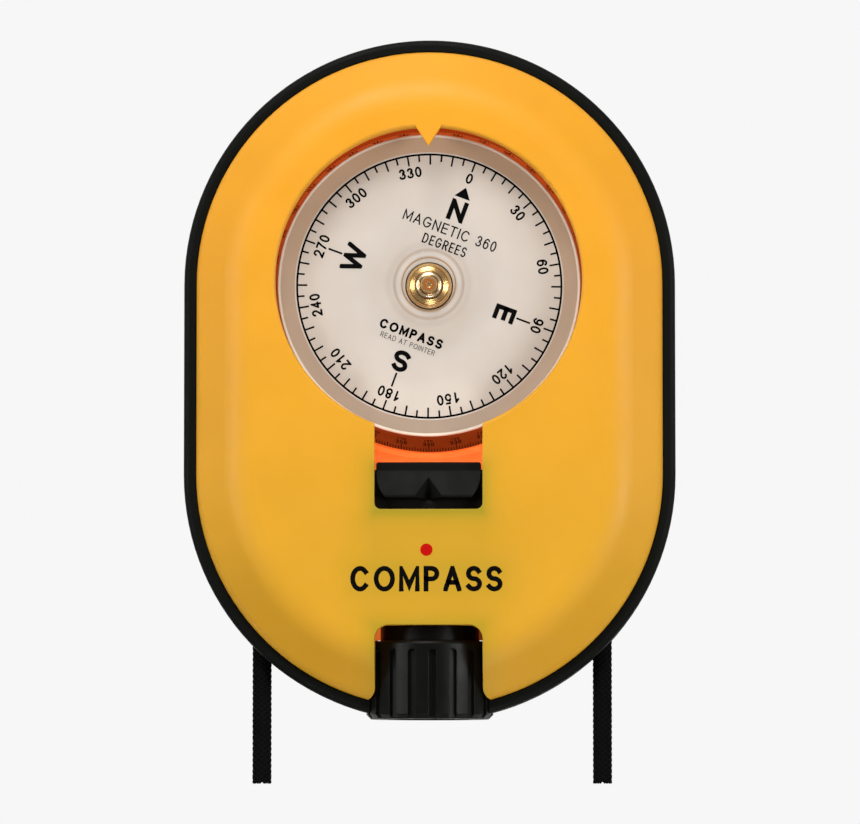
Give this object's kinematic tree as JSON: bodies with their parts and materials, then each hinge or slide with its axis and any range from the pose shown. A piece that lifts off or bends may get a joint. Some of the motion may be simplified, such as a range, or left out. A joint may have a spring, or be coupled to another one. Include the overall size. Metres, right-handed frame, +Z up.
{
  "type": "handheld bearing compass",
  "caption": "Handheld bearing compass with oval yellow case, black rim, round dial in a sealed capsule, rear sight notch and ribbed focusing eyepiece for reading bearings.",
  "frame": {"origin": "where the axis of the compass card meets the flat back of the case", "axes": "+Z up out of the dial, +Y from the eyepiece towards the far end (the sighting direction), +X to the right seen from the dial side"},
  "size_m": [0.077, 0.1164, 0.021],
  "materials": {
    "yellow_plastic": "satin moulded",
    "black_plastic": "fine matte",
    "ribbed_black": "soft sheen",
    "orange_clear": "clear fluorescent orange",
    "orange_scale": "translucent, printed",
    "clear_plastic": "polished",
    "lens_glass": "polished",
    "seal_rubber": "matte",
    "plated_steel": "zinc plated",
    "hard_steel": "ground",
    "brass": "turned and polished",
    "silver_dial": "satin silver",
    "jewel": "polished",
    "magnet_alloy": "ground",
    "black_anodised": "matte",
    "black_cord": "braided"
  },
  "bodies": {
    "case": {"front_cover": "yellow_plastic", "rear_cover": "yellow_plastic", "case_band": "black_plastic", "cover_screws": "plated_steel", "sight_block": "black_plastic", "capsule_cup": "orange_clear", "capsule_crystal": "clear_plastic", "filler_plug": "brass", "pivot_pin": "hard_steel", "optics_body": "orange_clear", "eyepiece_sleeve": "black_plastic", "reticle_window": "clear_plastic", "focus_seal": "seal_rubber", "ring_clip": "plated_steel", "cord_knots": "black_cord"},
    "card": {"dial_plate": "silver_dial", "scale_skirt": "orange_scale", "card_hub": "brass", "jewel_cup": "jewel", "magnet_axle": "plated_steel"},
    "magnet": {"magnet": "magnet_alloy"},
    "focus_ring": {"focus_ring": "ribbed_black"},
    "lens_group": {"lens_cell": "black_plastic", "eyepiece_lens": "lens_glass", "lens_retainer": "black_anodised", "cam_pin": "plated_steel"},
    "lanyard_left": {"lanyard_left": "black_cord"},
    "lanyard_right": {"lanyard_right": "black_cord"}
  },
  "joints": [
    {"name": "card_spin", "type": "hinge", "parent": "case", "child": "card", "pos_m": [0, 0, 0.014], "axis": [0, 0, 1], "continuous": true},
    {"name": "magnet_tilt", "type": "hinge", "parent": "card", "child": "magnet", "pos_m": [0, 0, 0.01025], "axis": [0.9367, -0.3502, 0], "range_deg": [-15, 15]},
    {"name": "focus_turn", "type": "hinge", "parent": "case", "child": "focus_ring", "pos_m": [0, -0.061, 0.0105], "axis": [0, 1, 0], "range_deg": [-120, 120]},
    {"name": "lens_travel", "type": "slide", "parent": "case", "child": "lens_group", "axis": [0, 1, 0], "range_m": [-0.0018, 0.0018]},
    {"name": "lanyard_left_swing", "type": "hinge", "parent": "case", "child": "lanyard_left", "pos_m": [-0.0263, -0.0603, 0.0105], "axis": [1, 0, 0], "range_deg": [-75, 75]},
    {"name": "lanyard_right_swing", "type": "hinge", "parent": "case", "child": "lanyard_right", "pos_m": [0.027, -0.0603, 0.0105], "axis": [1, 0, 0], "range_deg": [-75, 75]}
  ],
  "couplings": [
    {"joint": "lens_travel", "follows": "focus_turn", "m_per_rad": 0.000859}
  ]
}
